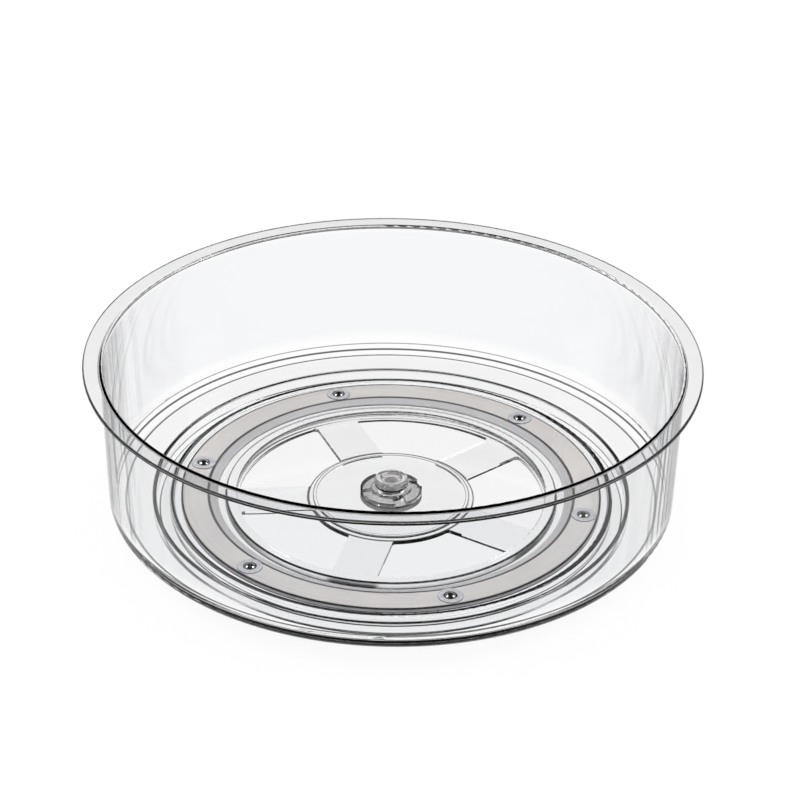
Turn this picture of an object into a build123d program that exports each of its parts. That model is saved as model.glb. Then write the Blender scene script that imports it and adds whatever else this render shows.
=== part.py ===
"""Clear lazy susan turntable: a walled tray that turns on a ball race in a spoked base.

Millimetres, +Z up, origin on the turning axis at the level of the table.
"""
import os
from math import cos, pi, radians, sin, tan

from build123d import *

os.makedirs("parts", exist_ok=True)

# Tray: rim, wall and floor
RIM_DIAMETER = 300.0
OVERALL_HEIGHT = 85.0
RIM_THICKNESS = 2.2
RIM_OVERHANG = 8.2
RIM_EDGE_RADIUS = 0.9
RIM_ROOT_RADIUS = 1.2
WALL_AT_RIM = 1.3
WALL_AT_FLOOR = 1.8
WALL_DRAFT = 1.5
FLOOR = 2.2
OUTER_CORNER_RADIUS = 5.5
INNER_CORNER_RADIUS = 6.0
SKIRT = 1.8
SKIRT_GAP = 1.3
SKIRT_LIFT = 2.6
SKIRT_EDGE_RADIUS = 0.6

# Balls and the track that they roll in
BALL_COUNT = 6
BALL_DIAMETER = 6.35
BALL_PITCH_RADIUS = 97.6
FIRST_BALL_ANGLE = 47.0
TRACK_RADIUS = 3.6
TRACK_DEPTH = 0.5
BALL_CLEARANCE = 0.02

# Ring that carries the balls, and the cups clipped into it
RING_OUTER_LAND = 7.4
RING_INNER_LAND = 6.3
RING_BEVEL = 4.7
RING_BEVEL_DROP = 1.3
RING_THICKNESS = 2.4
RING_LIFT = 0.3
RING_EDGE_RADIUS = 0.5
CUP_BODY_RADIUS = 4.7
CUP_FLANGE_RADIUS = 6.1
CUP_FLANGE = 0.4
CUP_EDGE_RADIUS = 0.25
CUP_LIP_OVERHANG = 0.3
CUP_LIP = 0.4
CUP_CLEARANCE = 0.1
BALL_SEAT_CLEARANCE = 0.12

# Base: plate, race walls, spokes and foot
PLATE_LIFT = 0.8
PLATE = 2.0
INNER_WALL_GAP = 4.0
OUTER_WALL_GAP = 3.1
INNER_WALL = 5.6
OUTER_WALL = 2.6
INNER_WALL_HEIGHT = 3.6
OUTER_WALL_HEIGHT = 4.4
RACE_WALL_EDGE_RADIUS = 0.8
FOOT_FLANGE = 5.2
FOOT_FLANGE_THICKNESS = 1.6
FOOT_EDGE_RADIUS = 0.5
FOOT_INSET = 3.0
SPOKE_COUNT = 5
SPOKE_WIDTH = 22.0
FIRST_SPOKE_ANGLE = 40.5
WINDOW_LAND = 0.6
WINDOW_INNER_RADIUS = 41.4
WINDOW_CORNER_RADIUS = 2.0
HUB_RIB_RADIUS = 38.2
HUB_RIB_WIDTH = 1.8
HUB_RIB_HEIGHT = 1.2
BOSS_HEIGHT = 2.2
HUB_SEAT_WIDTH = 1.2
HUB_SEAT_RELIEF = 0.3

# Pivot hub that joins the tray to the base
JOURNAL_RADIUS = 7.9
JOURNAL_CLEARANCE = 0.08
COLLAR_WALL = 1.8
COLLAR_FLOOR_GAP = 0.6
HUB_FLANGE = 0.6
CROWN_INNER_GAP = 0.3
CROWN_WALL = 5.3
CROWN_HEIGHT = 2.1
CROWN_GAPS = 4
CROWN_GAP_WIDTH = 6.3
FIRST_CROWN_GAP_ANGLE = 20.0
SNAP_BEAD = 0.5
SNAP_PLAY = 0.3
DOME_HEIGHT = 4.0
DOME_SHOULDER_RADIUS = 1.6
DOME_DISH_RADIUS = 5.4
DOME_DISH_DEPTH = 1.4
GATE_MARK_RADIUS = 1.3
GATE_MARK_HEIGHT = 0.3
SPIGOT_RADIUS = 5.0
SPIGOT_CLEARANCE = 0.05
SPIGOT_LIP = 0.5
SPIGOT_LIP_OVERHANG = 0.6
CORE_RADIUS = 3.4
DOME_SKIN = 3.0

# Heights, from the table up
plate_top = PLATE_LIFT + PLATE
ball_radius = BALL_DIAMETER / 2
ball_z = plate_top - TRACK_DEPTH + BALL_CLEARANCE + ball_radius
floor_bottom = ball_z + ball_radius + BALL_CLEARANCE
floor_top = floor_bottom + FLOOR
rim_bottom = OVERALL_HEIGHT - RIM_THICKNESS
ring_bottom = ball_z + RING_LIFT - RING_THICKNESS / 2
ring_top = ring_bottom + RING_THICKNESS

# Radii, from the ball circle out and in
rim_radius = RIM_DIAMETER / 2
ring_land_inner = BALL_PITCH_RADIUS - RING_INNER_LAND
ring_inner = ring_land_inner - RING_BEVEL
ring_outer = BALL_PITCH_RADIUS + RING_OUTER_LAND
inner_wall_outer = ring_inner - INNER_WALL_GAP
inner_wall_inner = inner_wall_outer - INNER_WALL
outer_wall_inner = ring_outer + OUTER_WALL_GAP
outer_wall_outer = outer_wall_inner + OUTER_WALL
base_radius = outer_wall_outer + FOOT_FLANGE
foot_inner = outer_wall_inner - FOOT_INSET
skirt_inner = base_radius + SKIRT_GAP
skirt_outer = skirt_inner + SKIRT
window_outer = inner_wall_inner - WINDOW_LAND
pivot_hole = JOURNAL_RADIUS + JOURNAL_CLEARANCE
collar_outer = pivot_hole + COLLAR_WALL
crown_inner = collar_outer + CROWN_INNER_GAP
crown_outer = crown_inner + CROWN_WALL
spigot_hole = SPIGOT_RADIUS + SPIGOT_CLEARANCE
hub_seat_inner = crown_outer - HUB_SEAT_WIDTH


def wall_radius(height):
    """Radius of the tray wall's outer face at a height."""
    return rim_radius - RIM_OVERHANG - (rim_bottom - height) * tan(radians(WALL_DRAFT))


def corner(sketch, radius, height):
    """The corner of a turned profile that lies nearest to a radius and a height."""
    return sketch.vertices().sort_by_distance((radius, height, 0))[0]


# Tray: one turned moulding with a drafted wall, a flat rim, and a collar and a skirt under the floor
boss_top = plate_top + BOSS_HEIGHT
hub_flange_top = boss_top + HUB_FLANGE
collar_bottom = hub_flange_top + COLLAR_FLOOR_GAP
inner_wall_top = wall_radius(rim_bottom) - WALL_AT_RIM
inner_wall_foot = wall_radius(floor_top) - WALL_AT_FLOOR
wall_foot = wall_radius(floor_bottom)

with BuildPart() as tray:
    with BuildSketch(Plane.XZ) as tray_profile:
        with BuildLine():
            Polyline(
                (pivot_hole, collar_bottom),
                (collar_outer, collar_bottom),
                (collar_outer, floor_bottom),
                (skirt_inner, floor_bottom),
                (skirt_inner, SKIRT_LIFT),
                (skirt_outer, SKIRT_LIFT),
                (skirt_outer, floor_bottom),
                (wall_foot, floor_bottom),
                (wall_radius(rim_bottom), rim_bottom),
                (rim_radius, rim_bottom),
                (rim_radius, OVERALL_HEIGHT),
                (inner_wall_top, OVERALL_HEIGHT),
                (inner_wall_foot, floor_top),
                (pivot_hole, floor_top),
                close=True,
            )
        make_face()
        for skirt_face in (skirt_inner, skirt_outer):
            fillet(corner(tray_profile, skirt_face, SKIRT_LIFT), SKIRT_EDGE_RADIUS)
        fillet(corner(tray_profile, wall_foot, floor_bottom), OUTER_CORNER_RADIUS)
        fillet(corner(tray_profile, inner_wall_foot, floor_top), INNER_CORNER_RADIUS)
        fillet(corner(tray_profile, wall_radius(rim_bottom), rim_bottom), RIM_ROOT_RADIUS)
        fillet(corner(tray_profile, rim_radius, rim_bottom), RIM_EDGE_RADIUS)
        fillet(corner(tray_profile, rim_radius, OVERALL_HEIGHT), RIM_EDGE_RADIUS)
        fillet(corner(tray_profile, inner_wall_top, OVERALL_HEIGHT), RIM_EDGE_RADIUS)
    revolve(axis=Axis.Z)
tray.part.label = "tray"
export_step(tray.part, "parts/tray.step")


# Base: turned plate with two race walls and a relieved seat for the pivot, with windows between its spokes
inner_wall_crest = plate_top + INNER_WALL_HEIGHT
outer_wall_crest = plate_top + OUTER_WALL_HEIGHT
rib_inner = HUB_RIB_RADIUS - HUB_RIB_WIDTH / 2
rib_outer = HUB_RIB_RADIUS + HUB_RIB_WIDTH / 2
rib_crest = plate_top + HUB_RIB_HEIGHT

with BuildPart() as base:
    with BuildSketch(Plane.XZ) as base_profile:
        with BuildLine():
            Polyline(
                (spigot_hole, PLATE_LIFT),
                (foot_inner, PLATE_LIFT),
                (foot_inner, 0),
                (base_radius, 0),
                (base_radius, FOOT_FLANGE_THICKNESS),
                (outer_wall_outer, FOOT_FLANGE_THICKNESS),
                (outer_wall_outer, outer_wall_crest),
                (outer_wall_inner, outer_wall_crest),
                (outer_wall_inner, plate_top),
                (inner_wall_outer, plate_top),
                (inner_wall_outer, inner_wall_crest),
                (inner_wall_inner, inner_wall_crest),
                (inner_wall_inner, plate_top),
                (rib_outer, plate_top),
                (rib_outer, rib_crest),
                (rib_inner, rib_crest),
                (rib_inner, plate_top),
                (crown_outer, plate_top),
                (crown_outer, boss_top),
                (hub_seat_inner, boss_top),
                (hub_seat_inner, boss_top - HUB_SEAT_RELIEF),
                (spigot_hole, boss_top - HUB_SEAT_RELIEF),
                close=True,
            )
        make_face()
        for wall_face in (inner_wall_inner, inner_wall_outer):
            fillet(corner(base_profile, wall_face, inner_wall_crest), RACE_WALL_EDGE_RADIUS)
        for wall_face in (outer_wall_inner, outer_wall_outer):
            fillet(corner(base_profile, wall_face, outer_wall_crest), RACE_WALL_EDGE_RADIUS)
        fillet(corner(base_profile, base_radius, FOOT_FLANGE_THICKNESS), FOOT_EDGE_RADIUS)
    revolve(axis=Axis.Z)
    with BuildSketch(Plane.XZ):
        with Locations((BALL_PITCH_RADIUS, plate_top - TRACK_DEPTH + TRACK_RADIUS)):
            Circle(TRACK_RADIUS)
    revolve(axis=Axis.Z, mode=Mode.SUBTRACT)
    with BuildSketch(Plane.XY.offset(PLATE_LIFT)) as windows:
        Circle(window_outer)
        Circle(WINDOW_INNER_RADIUS, mode=Mode.SUBTRACT)
        with PolarLocations(window_outer / 2, SPOKE_COUNT, start_angle=FIRST_SPOKE_ANGLE):
            Rectangle(window_outer + SPOKE_WIDTH, SPOKE_WIDTH, mode=Mode.SUBTRACT)
        fillet(windows.vertices(), WINDOW_CORNER_RADIUS)
    extrude(amount=PLATE, mode=Mode.SUBTRACT)
base.part.label = "base"
export_step(base.part, "parts/base.step")


# Pivot hub: spigot clipped in the base, notched crown round the tray's collar, domed snap head
crown_top = hub_flange_top + CROWN_HEIGHT
bead_bottom = floor_top + SNAP_PLAY
bead_radius = JOURNAL_RADIUS + SNAP_BEAD
dome_top = bead_bottom + DOME_HEIGHT
lip_bottom = PLATE_LIFT - SPIGOT_LIP

with BuildPart() as pivot_hub:
    with BuildSketch(Plane.XZ) as hub_profile:
        with BuildLine():
            Polyline(
                (CORE_RADIUS, lip_bottom),
                (SPIGOT_RADIUS + SPIGOT_LIP_OVERHANG, lip_bottom),
                (SPIGOT_RADIUS + SPIGOT_LIP_OVERHANG, PLATE_LIFT),
                (SPIGOT_RADIUS, PLATE_LIFT),
                (SPIGOT_RADIUS, boss_top),
                (crown_outer, boss_top),
                (crown_outer, crown_top),
                (crown_inner, crown_top),
                (crown_inner, hub_flange_top),
                (JOURNAL_RADIUS, hub_flange_top),
                (JOURNAL_RADIUS, bead_bottom),
                (bead_radius, bead_bottom + SNAP_BEAD),
                (bead_radius, dome_top),
                (DOME_DISH_RADIUS, dome_top),
                (DOME_DISH_RADIUS, dome_top - DOME_DISH_DEPTH),
                (GATE_MARK_RADIUS, dome_top - DOME_DISH_DEPTH),
                (GATE_MARK_RADIUS, dome_top - DOME_DISH_DEPTH + GATE_MARK_HEIGHT),
                (0, dome_top - DOME_DISH_DEPTH + GATE_MARK_HEIGHT),
                (0, dome_top - DOME_SKIN),
                (CORE_RADIUS, dome_top - DOME_SKIN),
                close=True,
            )
        make_face()
        fillet(corner(hub_profile, bead_radius, dome_top), DOME_SHOULDER_RADIUS)
    revolve(axis=Axis.Z)
    with BuildSketch(Plane.XY.offset(hub_flange_top)):
        with PolarLocations((crown_inner + crown_outer) / 2, CROWN_GAPS, start_angle=FIRST_CROWN_GAP_ANGLE):
            Rectangle(CROWN_WALL * 2, CROWN_GAP_WIDTH)
        Circle(crown_inner, mode=Mode.SUBTRACT)
    extrude(amount=CROWN_HEIGHT, mode=Mode.SUBTRACT)
pivot_hub.part.label = "pivot_hub"
export_step(pivot_hub.part, "parts/pivot_hub.step")


# Ball ring: flat land with a bevelled inner margin and a round hole for each ball cup
with BuildPart() as ball_ring:
    with BuildSketch(Plane.XZ) as ring_profile:
        with BuildLine():
            Polyline(
                (ring_inner, ring_bottom),
                (ring_outer, ring_bottom),
                (ring_outer, ring_top),
                (ring_land_inner, ring_top),
                (ring_inner, ring_top - RING_BEVEL_DROP),
                close=True,
            )
        make_face()
        fillet(corner(ring_profile, ring_outer, ring_top), RING_EDGE_RADIUS)
        fillet(corner(ring_profile, ring_inner, ring_top - RING_BEVEL_DROP), RING_EDGE_RADIUS)
    revolve(axis=Axis.Z)
    with BuildSketch(Plane.XY.offset(ring_bottom)):
        with PolarLocations(BALL_PITCH_RADIUS, BALL_COUNT, start_angle=FIRST_BALL_ANGLE):
            Circle(CUP_BODY_RADIUS + CUP_CLEARANCE)
    extrude(amount=RING_THICKNESS, mode=Mode.SUBTRACT)
ball_ring.part.label = "ball_ring"
export_step(ball_ring.part, "parts/ball_ring.step")


# Ball cups and balls: each ball turns in a round seat, open above where the tray runs on the ball
cup_bottom = ring_bottom - CUP_LIP
cup_top = ring_top + CUP_FLANGE
seat_radius = ball_radius + BALL_SEAT_CLEARANCE

for number in range(1, BALL_COUNT + 1):
    ball_angle = radians(FIRST_BALL_ANGLE) + 2 * pi * (number - 1) / BALL_COUNT
    ball_x = BALL_PITCH_RADIUS * cos(ball_angle)
    ball_y = BALL_PITCH_RADIUS * sin(ball_angle)

    with BuildPart() as ball_cup:
        with BuildSketch(Plane((ball_x, ball_y, cup_bottom))):
            Circle(CUP_BODY_RADIUS + CUP_LIP_OVERHANG)
        extrude(amount=CUP_LIP)
        with BuildSketch(Plane((ball_x, ball_y, ring_bottom))):
            Circle(CUP_BODY_RADIUS)
        extrude(amount=RING_THICKNESS)
        with BuildSketch(Plane((ball_x, ball_y, ring_top))):
            Circle(CUP_FLANGE_RADIUS)
        extrude(amount=CUP_FLANGE)
        fillet(ball_cup.edges().sort_by(Axis.Z)[-1], CUP_EDGE_RADIUS)
        with Locations((ball_x, ball_y, ball_z)):
            Sphere(seat_radius, mode=Mode.SUBTRACT)
        with BuildSketch(Plane((ball_x, ball_y, ball_z))):
            Circle(seat_radius)
        extrude(amount=cup_top - ball_z, mode=Mode.SUBTRACT)
    ball_cup.part.label = f"ball_cup_{number}"
    export_step(ball_cup.part, f"parts/ball_cup_{number}.step")

    with BuildPart() as ball:
        with Locations((ball_x, ball_y, ball_z)):
            Sphere(ball_radius)
    ball.part.label = f"ball_{number}"
    export_step(ball.part, f"parts/ball_{number}.step")
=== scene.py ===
"""Looks of the clear lazy susan turntable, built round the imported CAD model. Metres, +Z up."""
import math

import bpy
from mathutils import Euler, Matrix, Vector

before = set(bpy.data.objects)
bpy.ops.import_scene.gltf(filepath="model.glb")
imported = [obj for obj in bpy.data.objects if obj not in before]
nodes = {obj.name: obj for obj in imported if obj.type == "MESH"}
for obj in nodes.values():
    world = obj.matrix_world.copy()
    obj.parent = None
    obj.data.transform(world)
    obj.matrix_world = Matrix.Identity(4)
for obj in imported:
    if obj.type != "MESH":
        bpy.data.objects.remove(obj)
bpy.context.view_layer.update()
scene = bpy.context.scene

MM = 0.001
GRAIN_LOW = 0.2
GRAIN_HIGH = 0.8
BLACK = (0.0, 0.0, 0.0, 1.0)
WHITE = (1.0, 1.0, 1.0, 1.0)


def feed(tree, socket, value):
    """Links a socket to another node's output, or sets it to a plain value."""
    if isinstance(value, bpy.types.NodeSocket):
        tree.links.new(value, socket)
    else:
        socket.default_value = value


def new_material(name):
    """An empty node material with its output node."""
    material = bpy.data.materials.new(name)
    material.use_nodes = True
    tree = material.node_tree
    tree.nodes.clear()
    output = tree.nodes.new("ShaderNodeOutputMaterial")
    return material, tree, output


def add_node(tree, kind, **sockets):
    """A shader node with some of its input sockets linked or set."""
    node = tree.nodes.new(kind)
    for name, value in sockets.items():
        feed(tree, node.inputs[name.replace("_", " ")], value)
    return node


def calc(tree, operation, *values):
    """The result of a math node on sockets or plain numbers."""
    node = tree.nodes.new("ShaderNodeMath")
    node.operation = operation
    for socket, value in zip(node.inputs, values):
        feed(tree, socket, value)
    return node.outputs[0]


def vector_calc(tree, operation, first, second):
    """The number that a vector math node finds for two vectors."""
    node = tree.nodes.new("ShaderNodeVectorMath")
    node.operation = operation
    feed(tree, node.inputs[0], first)
    feed(tree, node.inputs[1], second)
    return node.outputs["Value"]


def ease(tree, value, start, end, low=0.0, high=1.0):
    """A smooth step of a value from low at start to high at end."""
    node = add_node(tree, "ShaderNodeMapRange", From_Min=start, From_Max=end, To_Min=low, To_Max=high)
    node.interpolation_type = "SMOOTHSTEP"
    feed(tree, node.inputs["Value"], value)
    return node.outputs["Result"]


def mix_colours(tree, amount, first, second):
    """A blend from one colour to another, each a socket or a plain colour."""
    node = tree.nodes.new("ShaderNodeMix")
    node.data_type = "RGBA"
    feed(tree, node.inputs["Factor"], amount)
    feed(tree, node.inputs[6], first)
    feed(tree, node.inputs[7], second)
    return node.outputs[2]


def noise(tree, vector, scale, detail):
    """A noise pattern on a position."""
    return add_node(tree, "ShaderNodeTexNoise", Vector=vector, Scale=scale, Detail=detail).outputs["Fac"]


def object_place(tree):
    """The position in the CAD frame, which turns with the piece."""
    return tree.nodes.new("ShaderNodeTexCoord").outputs["Object"]


def split(tree, vector):
    """The three parts of a vector, by name."""
    return add_node(tree, "ShaderNodeSeparateXYZ", Vector=vector).outputs


def turned_place(tree):
    """The height, and the point (radius, height) in the section through the turning axis."""
    axes = split(tree, object_place(tree))
    across = calc(tree, "MULTIPLY", axes["X"], axes["X"])
    along = calc(tree, "MULTIPLY", axes["Y"], axes["Y"])
    radius = calc(tree, "SQRT", calc(tree, "ADD", across, along))
    section = add_node(tree, "ShaderNodeCombineXYZ", X=radius, Y=axes["Z"])
    return axes["Z"], section.outputs[0]


def looks_outward(tree):
    """One on faces that look away from the turning axis, none on faces that look to it."""
    place = tree.nodes.new("ShaderNodeTexCoord")
    along = vector_calc(tree, "DOT_PRODUCT", place.outputs["Object"], place.outputs["Normal"])
    return calc(tree, "GREATER_THAN", along, 0.0)


EDGE_CORE = 0.45


def edge_shade(tree, section, circles):
    """Depth of shade along turned edges, full within the core of each edge's reach."""
    shade = 0.0
    for radius, height, reach, depth in circles:
        gap = vector_calc(tree, "DISTANCE", section, (radius * MM, height * MM, 0.0))
        line = ease(tree, gap, reach * MM, reach * MM * EDGE_CORE, 0.0, depth)
        shade = calc(tree, "MAXIMUM", shade, line)
    return shade


def assign(material, *names):
    """Gives CAD nodes one material."""
    for name in names:
        mesh = nodes[name].data
        mesh.materials.clear()
        mesh.materials.append(material)


# Clear plastic: painted shade where light is lost at turned edges, painted grey shade in streaks where
# seen edge on
PLASTIC_IOR = 1.49
CLEAR = (0.992, 0.993, 0.996, 1.0)
SMOKY = (0.64, 0.63, 0.635, 1.0)
SOFT_SHINE = BLACK
FULL_SHINE = WHITE
POLISH_GRAIN = (60.0, 3.0)
CLEAR_HAZE = 0.008
HUB_CLARITY = 0.9
HUB_HAZE = 0.05

# Tray wall: heights in mm between which it has its cool cast, and how much of that the rim keeps
WALL_CAST = (0.925, 0.930, 0.943, 1.0)
WALL_FOOT = 17.0
WALL_FULL = 24.0
WALL_END = 80.5
RIM_START = 82.5
RIM_CAST = 0.35

# Wall seen edge on: painted grey shade in soft streaks and thin painted dark lines, fine across and long
# upwards
PAINTED_GRAZING_SHADE = (0.30, 0.30, 0.305, 1.0)
GRAZING_START = 0.32
GREY_STREAKS = (90.0, 9.0)
GREY_STREAK_START = 0.42
GREY_STREAK_FULL = 0.58
GREY_STREAK_LEAST = 0.45
SHADE_LINE_STREAKS = (240.0, 7.0)
SHADE_LINE_START = 0.60
SHADE_LINE_FULL = 0.75
OUTER_LINE_EDGE = 0.53
OUTER_LINE_CORE = 0.60
OUTER_LINE_DEPTH = 0.9
INNER_LINE_EDGE = 0.57
INNER_LINE_CORE = 0.63
INNER_LINE_DEPTH = 0.4
STREAK_DETAIL = 2.0


def streaks(tree, across, up):
    """Upright streaks round a moulded wall, as a noise so fine across and up (per metre)."""
    stretch = add_node(
        tree, "ShaderNodeMapping", Vector=object_place(tree), Scale=(across, across, up))
    return noise(tree, stretch.outputs[0], 1.0, STREAK_DETAIL)


def wall_looks(tree, tint, height, entering):
    """Colour of a piece's body with its painted grazing shade, and depth of its painted dark lines, both
    plain below the wall's foot.
    """
    facing = add_node(tree, "ShaderNodeLayerWeight", Blend=0.5).outputs["Facing"]
    above_foot = ease(tree, height, WALL_FOOT * MM, WALL_FULL * MM)
    below_rim = ease(tree, height, WALL_END * MM, RIM_START * MM, 1.0, RIM_CAST)
    on_wall = calc(tree, "MULTIPLY", above_foot, below_rim)
    grazing = calc(tree, "MULTIPLY", on_wall, ease(tree, facing, GRAZING_START, 1.0))
    soft = ease(
        tree, streaks(tree, *GREY_STREAKS), GREY_STREAK_START, GREY_STREAK_FULL, GREY_STREAK_LEAST, 1.0)
    cast = mix_colours(tree, on_wall, tint, WALL_CAST)
    body_and_shade = mix_colours(tree, calc(tree, "MULTIPLY", grazing, soft), cast, PAINTED_GRAZING_SHADE)
    edge_on = ease(tree, facing, SHADE_LINE_START, SHADE_LINE_FULL)
    shade_line_noise = streaks(tree, *SHADE_LINE_STREAKS)
    from_outside = calc(tree, "MULTIPLY", entering, looks_outward(tree))
    outer = ease(tree, shade_line_noise, OUTER_LINE_EDGE, OUTER_LINE_CORE, 0.0, OUTER_LINE_DEPTH)
    inner = ease(tree, shade_line_noise, INNER_LINE_EDGE, INNER_LINE_CORE, 0.0, INNER_LINE_DEPTH)
    lines = calc(tree, "MAXIMUM", calc(tree, "MULTIPLY", from_outside, outer), inner)
    shade_lines = calc(tree, "MULTIPLY", calc(tree, "MULTIPLY", on_wall, edge_on), lines)
    return body_and_shade, shade_lines


def clear_plastic(name, tint, clarity, shine, haze, edges, entry_edges=(), exit_edges=(), satin_edges=()):
    """Polished clear moulding with painted shade along its edges, where light passes, enters or leaves
    there.
    """
    material, tree, output = new_material(name)
    height, section = turned_place(tree)
    leaving = tree.nodes.new("ShaderNodeNewGeometry").outputs["Backfacing"]
    entering = calc(tree, "SUBTRACT", 1.0, leaving)
    body_and_shade, shade_lines = wall_looks(tree, tint, height, entering)
    entry_shade = calc(tree, "MULTIPLY", entering, edge_shade(tree, section, entry_edges))
    exit_shade = calc(tree, "MULTIPLY", leaving, edge_shade(tree, section, exit_edges))
    shade = calc(tree, "MAXIMUM", edge_shade(tree, section, edges), shade_lines)
    shade = calc(tree, "MAXIMUM", shade, calc(tree, "MAXIMUM", entry_shade, exit_shade))
    polish = ease(tree, noise(tree, section, *POLISH_GRAIN), 0.0, 1.0, 0.0, haze)
    roughness = calc(tree, "MAXIMUM", polish, edge_shade(tree, section, satin_edges))
    shader = add_node(
        tree, "ShaderNodeBsdfPrincipled", IOR=PLASTIC_IOR, Transmission_Weight=clarity,
        Specular_Tint=shine, Base_Color=mix_colours(tree, shade, body_and_shade, BLACK), Roughness=roughness)
    tree.links.new(shader.outputs["BSDF"], output.inputs["Surface"])
    return material


# Edges with a painted shade: radius, height and reach in mm, then how deep the shade is
TRAY_EDGES = (
    (149.7, 84.8, 0.8, 0.98),  # rim, outer top edge
    (149.9, 83.0, 0.7, 0.98),  # rim, outer lower edge
    (140.0, 14.1, 0.5, 0.85),  # outer corner at the wall
    (132.2, 10.9, 0.8, 0.95),  # inner corner at the floor
    (118.1, 8.7, 1.4, 1.0),  # skirt at the floor
    (118.1, 2.6, 1.2, 1.0),  # skirt, lower edge
)
TRAY_ENTRY_EDGES = (
    (149.8, 83.6, 1.1, 1.0),  # rim, outer face
    (140.0, 14.1, 1.3, 1.0),  # outer corner at the wall
)
TRAY_EXIT_EDGES = (
    (138.6, 10.6, 0.9, 0.98),  # outer corner, middle of its round
    (132.2, 10.9, 1.1, 1.0),  # inner corner at the floor
    (138.2, 16.8, 0.6, 0.95),  # inner corner at the wall
)
BASE_EDGES = (
    (109.4, 7.2, 1.2, 1.0),  # outer race wall, crest
    (82.6, 6.4, 1.2, 1.0),  # inner race wall, top edge
    (82.6, 2.8, 0.7, 0.8),  # inner race wall, foot
    (39.1, 4.0, 0.7, 0.93),  # hub rib, outer edge
    (37.3, 4.0, 0.45, 0.8),  # hub rib, inner edge
    (41.4, 2.8, 0.9, 0.97),  # windows, inner end
    (115.9, 1.6, 1.0, 0.99),  # foot flange, edge
)
HUB_EDGES = (
    (8.4, 11.4, 1.2, 1.0),  # snap bead under the dome
    (15.4, 7.7, 0.45, 0.75),  # crown, outer top edge
    (15.4, 5.0, 0.4, 0.6),  # crown, lower edge
    (10.1, 7.7, 0.4, 0.7),  # crown, inner top edge
)

# Faces left satin by the mould, with the roughness in place of the shade
BASE_SATIN_EDGES = (
    (82.6, 4.6, 2.0, 0.6),  # inner race wall, face to the ring
    (15.4, 3.9, 1.4, 0.6),  # boss under the crown
)

# Ball ring: satin warm grey, with painted shade on its bevel and along its edges
RING_METAL = 0.15
RING_BRUSHING = 0.6
RING_MARKS = (2600.0, 2.0)
RING_MOTTLE = (16.0, 2.0)
RING_DARK = (0.62, 0.59, 0.574, 1.0)
RING_PALE = (0.675, 0.65, 0.634, 1.0)
RING_BEVEL_SHADE = (0.50, 0.49, 0.50, 1.0)
RING_BEVEL_START = 6.95
RING_BEVEL_FULL = 6.65
RING_SMOOTH = 0.24
RING_ROUGH = 0.38
RING_MARK_STRENGTH = 0.05
RING_MARK_DEPTH = 0.0002
# Painted shade along the ring's edges: radius, height and reach in mm, then its depth
RING_EDGES = (
    (104.6, 7.0, 0.9, 0.97),  # outer top edge
    (105.0, 4.6, 0.8, 0.95),  # outer lower edge
    (91.3, 7.0, 1.0, 0.85),  # top of the bevel
    (86.6, 4.6, 0.7, 0.6),  # inner lower edge
)


def ring_finish():
    """Satin pale warm-grey ring with fine turning marks, with painted shade on its bevel and along its
    edges.
    """
    material, tree, output = new_material("ring_satin")
    height, section = turned_place(tree)
    marks = noise(tree, section, *RING_MARKS)
    land = mix_colours(tree, noise(tree, object_place(tree), *RING_MOTTLE), RING_DARK, RING_PALE)
    bevel = ease(tree, height, RING_BEVEL_START * MM, RING_BEVEL_FULL * MM)
    body_and_shade = mix_colours(tree, bevel, land, RING_BEVEL_SHADE)
    turning = tree.nodes.new("ShaderNodeTangent")
    turning.direction_type = "RADIAL"
    turning.axis = "Z"
    bump = add_node(
        tree, "ShaderNodeBump", Strength=RING_MARK_STRENGTH, Distance=RING_MARK_DEPTH, Height=marks)
    shader = add_node(
        tree, "ShaderNodeBsdfPrincipled", Metallic=RING_METAL, Anisotropic=RING_BRUSHING,
        Base_Color=mix_colours(tree, edge_shade(tree, section, RING_EDGES), body_and_shade, BLACK),
        Roughness=ease(tree, marks, GRAIN_LOW, GRAIN_HIGH, RING_SMOOTH, RING_ROUGH),
        Tangent=turning.outputs[0], Normal=bump.outputs["Normal"])
    tree.links.new(shader.outputs["BSDF"], output.inputs["Surface"])
    return material


# Ball cups: grey on their level faces, with painted shade on the upright faces round the ball
CUP_IOR = 1.5
CUP_CLOUD = (420.0, 3.0)
CUP_DARK = (0.42, 0.42, 0.44, 1.0)
CUP_PALE = (0.52, 0.52, 0.54, 1.0)
CUP_UPRIGHT_SHADE = (0.05, 0.05, 0.055, 1.0)
CUP_LEVEL_START = 0.5
CUP_LEVEL_FULL = 0.95
CUP_SMOOTH = 0.22
CUP_ROUGH = 0.36


def cup_finish():
    """Smooth grey moulded cup, a little cloudy, with painted shade on its upright faces round the ball.
    """
    material, tree, output = new_material("cup_grey")
    cloud = noise(tree, object_place(tree), *CUP_CLOUD)
    flat = mix_colours(tree, cloud, CUP_DARK, CUP_PALE)
    tilt = split(tree, tree.nodes.new("ShaderNodeNewGeometry").outputs["Normal"])
    level = ease(tree, tilt["Z"], CUP_LEVEL_START, CUP_LEVEL_FULL)
    shader = add_node(
        tree, "ShaderNodeBsdfPrincipled", IOR=CUP_IOR,
        Base_Color=mix_colours(tree, level, CUP_UPRIGHT_SHADE, flat),
        Roughness=ease(tree, cloud, GRAIN_LOW, GRAIN_HIGH, CUP_SMOOTH, CUP_ROUGH))
    tree.links.new(shader.outputs["BSDF"], output.inputs["Surface"])
    return material


# Balls: bright steel
STEEL_WEAR = (900.0, 4.0)
STEEL_WEAR_LOW = 0.3
STEEL_WEAR_HIGH = 0.9
STEEL_DARK = (0.60, 0.59, 0.58, 1.0)
STEEL_PALE = (0.70, 0.69, 0.68, 1.0)
STEEL_SMOOTH = 0.03
STEEL_ROUGH = 0.12


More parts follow.
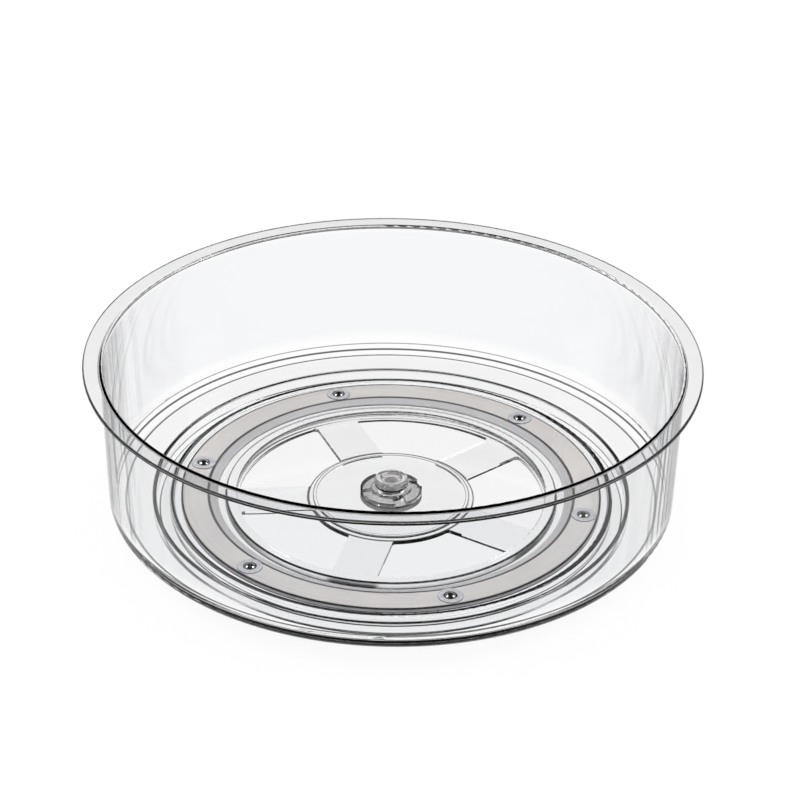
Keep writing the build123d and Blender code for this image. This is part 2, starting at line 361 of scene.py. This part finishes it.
def steel_finish():
    """Polished bearing steel with the faintest wear."""
    material, tree, output = new_material("ball_steel")
    wear = noise(tree, object_place(tree), *STEEL_WEAR)
    shader = add_node(
        tree, "ShaderNodeBsdfPrincipled", Metallic=1.0,
        Base_Color=mix_colours(tree, wear, STEEL_DARK, STEEL_PALE),
        Roughness=ease(tree, wear, STEEL_WEAR_LOW, STEEL_WEAR_HIGH, STEEL_SMOOTH, STEEL_ROUGH))
    tree.links.new(shader.outputs["BSDF"], output.inputs["Surface"])
    return material


BALLS = sorted(name for name in nodes if name.removeprefix("ball_").isdigit())
CUPS = sorted(name for name in nodes if name.startswith("ball_cup_"))

tray_plastic = clear_plastic(
    "clear_tray", CLEAR, 1.0, SOFT_SHINE, CLEAR_HAZE, TRAY_EDGES, TRAY_ENTRY_EDGES, TRAY_EXIT_EDGES)
base_plastic = clear_plastic(
    "clear_base", CLEAR, 1.0, SOFT_SHINE, CLEAR_HAZE, BASE_EDGES, satin_edges=BASE_SATIN_EDGES)
hub_plastic = clear_plastic("smoky_hub", SMOKY, HUB_CLARITY, FULL_SHINE, HUB_HAZE, HUB_EDGES)
assign(tray_plastic, "tray")
assign(base_plastic, "base")
assign(hub_plastic, "pivot_hub")
assign(ring_finish(), "ball_ring")
assign(cup_finish(), *CUPS)
assign(steel_finish(), *BALLS)

# Floor: white to the eye and through clear pieces; shiny ones see it white round the object only
FLOOR_HALF = 12.0
FLOOR_DROP = 0.0002
FLOOR_GLOW = 0.88
FLOOR_WHITE = 1.0
FLOOR_MATTE = (0.052, 0.052, 0.052, 1.0)
FLOOR_BOUNCE = (0.9, 0.9, 0.9, 1.0)
POOL_CENTRE = (0.0, 0.05, 0.0)
POOL_FULL = 0.28
POOL_END = 0.45
POOL_OUTSIDE = 0.02


def after_diffuse(tree, path):
    """1 for light that has met a matte surface on its way, else 0."""
    return calc(tree, "GREATER_THAN", path.outputs["Diffuse Depth"], 0.5)


def floor_finish():
    """White floor that glows a little, with a matte share that keeps the object's shadow."""
    material, tree, output = new_material("white_floor")
    path = tree.nodes.new("ShaderNodeLightPath")
    through = path.outputs["Is Transmission Ray"]
    place = tree.nodes.new("ShaderNodeNewGeometry").outputs["Position"]
    gap = vector_calc(tree, "DISTANCE", place, POOL_CENTRE)
    pool = ease(tree, gap, POOL_FULL, POOL_END, 1.0, POOL_OUTSIDE)
    in_view = calc(tree, "MAXIMUM", through, path.outputs["Is Camera Ray"])
    seen = calc(tree, "MAXIMUM", pool, in_view)
    level = calc(tree, "MULTIPLY_ADD", through, FLOOR_WHITE - FLOOR_GLOW, FLOOR_GLOW)
    glow = add_node(tree, "ShaderNodeEmission", Strength=calc(tree, "MULTIPLY", seen, level))
    open_floor = calc(tree, "MULTIPLY", seen, calc(tree, "SUBTRACT", 1.0, through))
    shaded = add_node(
        tree, "ShaderNodeBsdfDiffuse", Color=mix_colours(tree, open_floor, BLACK, FLOOR_MATTE))
    both = tree.nodes.new("ShaderNodeAddShader")
    tree.links.new(glow.outputs[0], both.inputs[0])
    tree.links.new(shaded.outputs[0], both.inputs[1])
    bounce = add_node(tree, "ShaderNodeBsdfDiffuse", Color=FLOOR_BOUNCE)
    mix = tree.nodes.new("ShaderNodeMixShader")
    tree.links.new(after_diffuse(tree, path), mix.inputs[0])
    tree.links.new(both.outputs[0], mix.inputs[1])
    tree.links.new(bounce.outputs[0], mix.inputs[2])
    tree.links.new(mix.outputs[0], output.inputs["Surface"])
    return material


floor_corners = [
    (-FLOOR_HALF, -FLOOR_HALF, 0),
    (FLOOR_HALF, -FLOOR_HALF, 0),
    (FLOOR_HALF, FLOOR_HALF, 0),
    (-FLOOR_HALF, FLOOR_HALF, 0),
]
floor_mesh = bpy.data.meshes.new("floor")
floor_mesh.from_pydata(floor_corners, [], [(0, 1, 2, 3)])
floor_mesh.materials.append(floor_finish())
floor = bpy.data.objects.new("floor", floor_mesh)
scene.collection.objects.link(floor)
floor.location.z = -FLOOR_DROP

# Studio: dark to shiny surfaces, pale at the horizon and to the eye, with even light for matte ones
STUDIO_DARK = 0.015
MATTE_LIGHT = 2.6
HORIZON_FULL = 0.12
HORIZON_END = 0.40


def studio_world():
    """World light of the studio."""
    world = bpy.data.worlds.new("studio")
    world.use_nodes = True
    tree = world.node_tree
    tree.nodes.clear()
    output = tree.nodes.new("ShaderNodeOutputWorld")
    path = tree.nodes.new("ShaderNodeLightPath")
    level = calc(tree, "MULTIPLY_ADD", after_diffuse(tree, path), MATTE_LIGHT - STUDIO_DARK, STUDIO_DARK)
    direction = split(tree, tree.nodes.new("ShaderNodeTexCoord").outputs["Generated"])
    horizon = ease(tree, direction["Z"], HORIZON_FULL, HORIZON_END, 1.0, 0.0)
    pale = calc(tree, "MAXIMUM", horizon, path.outputs["Is Camera Ray"])
    background = add_node(
        tree, "ShaderNodeBackground", Color=WHITE, Strength=calc(tree, "MAXIMUM", level, pale))
    tree.links.new(background.outputs[0], output.inputs["Surface"])
    return world


scene.world = studio_world()

# Two small high softboxes, one at each side, give the balls and the hub their highlights
BOX_ASIDE = 1.3
BOX_HEIGHT = 1.1
BOX_WIDTH = 0.6
BOX_LENGTH = 0.8
BOX_POWER = 8.4
BOX_AIM = Vector((0, 0, 0.04))


def softbox(name, aside):
    """A rectangular area lamp that faces the tray."""
    lamp = bpy.data.lights.new(name, "AREA")
    lamp.shape = "RECTANGLE"
    lamp.size = BOX_WIDTH
    lamp.size_y = BOX_LENGTH
    lamp.energy = BOX_POWER
    holder = bpy.data.objects.new(name, lamp)
    scene.collection.objects.link(holder)
    holder.location = (aside, 0.0, BOX_HEIGHT)
    holder.rotation_euler = (BOX_AIM - Vector(holder.location)).to_track_quat("-Z", "Y").to_euler()


softbox("left_box", -BOX_ASIDE)
softbox("right_box", BOX_ASIDE)

# Camera at the photograph's view: its frame and where the aim point falls in it are in pixels
FRAME_PX = 800
AIM_X_PX = 392.0
AIM_Y_PX = 430.8
FOCAL_PX = 2652.0
SENSOR_MM = 36.0
CAMERA_DISTANCE = 1.3071
CAMERA_ELEVATION = math.radians(30.83)
CAMERA_ROLL = math.radians(0.88)
AIM_HEIGHT = 0.042
CLIP_END = 100.0

camera_data = bpy.data.cameras.new("camera")
camera_data.sensor_width = SENSOR_MM
camera_data.lens = FOCAL_PX / FRAME_PX * SENSOR_MM
camera_data.shift_x = (FRAME_PX / 2 - AIM_X_PX) / FRAME_PX
camera_data.shift_y = (AIM_Y_PX - FRAME_PX / 2) / FRAME_PX
camera_data.clip_end = CLIP_END
camera = bpy.data.objects.new("camera", camera_data)
scene.collection.objects.link(camera)
aim = Vector((0, 0, AIM_HEIGHT))
back = Vector((0, -math.cos(CAMERA_ELEVATION), math.sin(CAMERA_ELEVATION)))
camera.location = aim + back * CAMERA_DISTANCE
look = Euler((math.pi / 2 - CAMERA_ELEVATION, 0, 0)).to_matrix()
roll = Euler((0, 0, CAMERA_ROLL)).to_matrix()
camera.rotation_euler = (look @ roll).to_euler()
scene.camera = camera

# Enough bounces for light to pass through tray, base and back
LIGHT_BOUNCES = 12
GLOSSY_BOUNCES = 8
scene.view_settings.view_transform = "Standard"
scene.cycles.max_bounces = LIGHT_BOUNCES
scene.cycles.transmission_bounces = LIGHT_BOUNCES
scene.cycles.glossy_bounces = GLOSSY_BOUNCES
